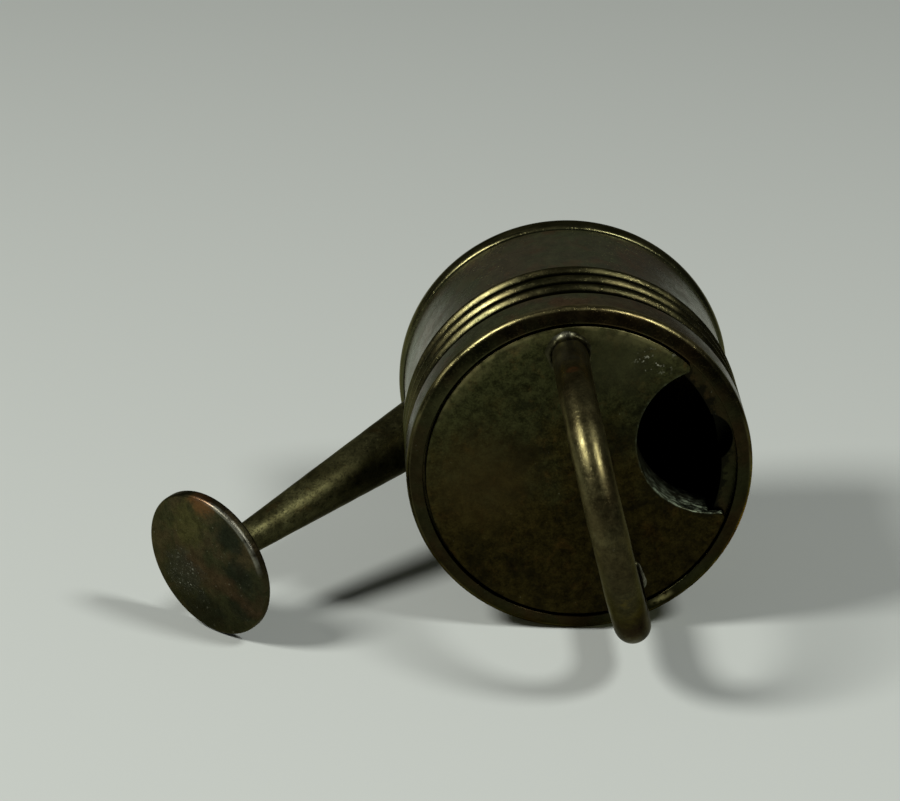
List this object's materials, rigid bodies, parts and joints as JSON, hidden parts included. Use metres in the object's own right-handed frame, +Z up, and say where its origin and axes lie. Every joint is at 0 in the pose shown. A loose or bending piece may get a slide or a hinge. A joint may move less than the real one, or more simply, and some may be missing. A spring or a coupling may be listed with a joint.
{
  "type": "miniature watering can",
  "caption": "Miniature brass watering can: ribbed turned body, top plate with a round filler mouth, bent rod hoop handle, tapered spout with a plain domed disc as its rose.",
  "frame": {"origin": "centre of the flat face that the body stands on", "axes": "+Z up along the body's axis, +X towards the spout, +Y to the left when looking along the spout; the filler mouth is on the -X side"},
  "size_m": [0.053, 0.03, 0.0438],
  "materials": {
    "body_brass": "dark aged brass, turned, worn bright along the ribs and the rim",
    "plate_brass": "olive-brown patina, mottled, matt",
    "rod_brass": "aged brass rod, polished by handling",
    "spout_brass": "olive-gold aged brass, finely pitted",
    "rose_brass": "mottled brown, green and copper patina",
    "solder": "pale grey silver-solder fillet"
  },
  "bodies": {
    "root": {"body_shell": "body_brass", "base_plate": "plate_brass", "top_plate": "plate_brass", "handle": "rod_brass", "handle_solder_right": "solder", "handle_solder_left": "solder", "spout": "spout_brass", "spout_solder": "solder", "rose": "rose_brass", "rose_solder": "solder"}
  },
  "joints": []
}
